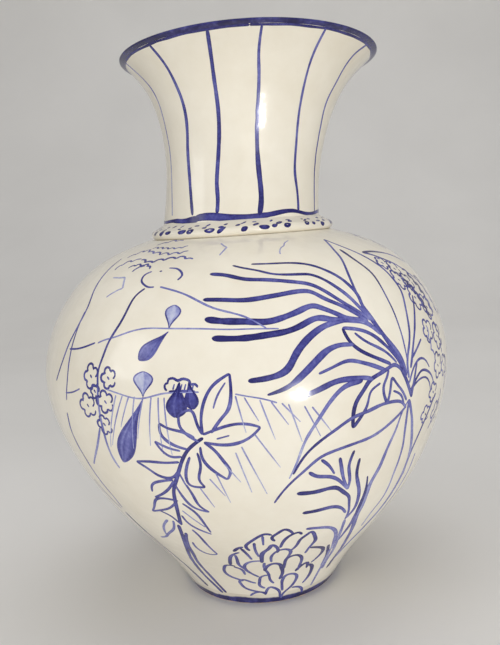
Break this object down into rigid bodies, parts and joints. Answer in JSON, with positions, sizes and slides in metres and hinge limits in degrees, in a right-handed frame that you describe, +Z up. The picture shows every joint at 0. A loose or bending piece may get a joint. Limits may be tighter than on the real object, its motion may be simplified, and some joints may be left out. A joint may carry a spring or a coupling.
{
  "type": "talavera pottery vase",
  "caption": "Tall white tin-glazed vase with round belly, narrow foot, beaded collar and flared trumpet neck, brushed by hand in cobalt blue; made to stand and hold flowers.",
  "frame": {"origin": "centre of the foot ring's resting circle, on the surface it stands on", "axes": "+Z up along the axis of the body; -Y faces the painted front with the palm leaves; +X is to the right seen from the front, the way the neck leans"},
  "size_m": [0.306, 0.306, 0.4066],
  "materials": {
    "white_glaze": "glossy warm white tin glaze with cobalt brushwork",
    "cobalt_glaze": "glossy cobalt blue brushed over white",
    "foot_band": "cobalt band above a wiped resting edge",
    "inside_glaze": "plain white glaze, a little duller inside",
    "bare_clay": "unglazed fired clay where the foot rests"
  },
  "bodies": {
    "root": {"foot_ring": "foot_band", "lower_body": "white_glaze", "shoulder": "white_glaze", "collar_ring": "white_glaze", "neck": "white_glaze", "lip_roll": "cobalt_glaze", "belly_seam_coil": "inside_glaze", "neck_seam_coil": "inside_glaze"}
  },
  "joints": []
}
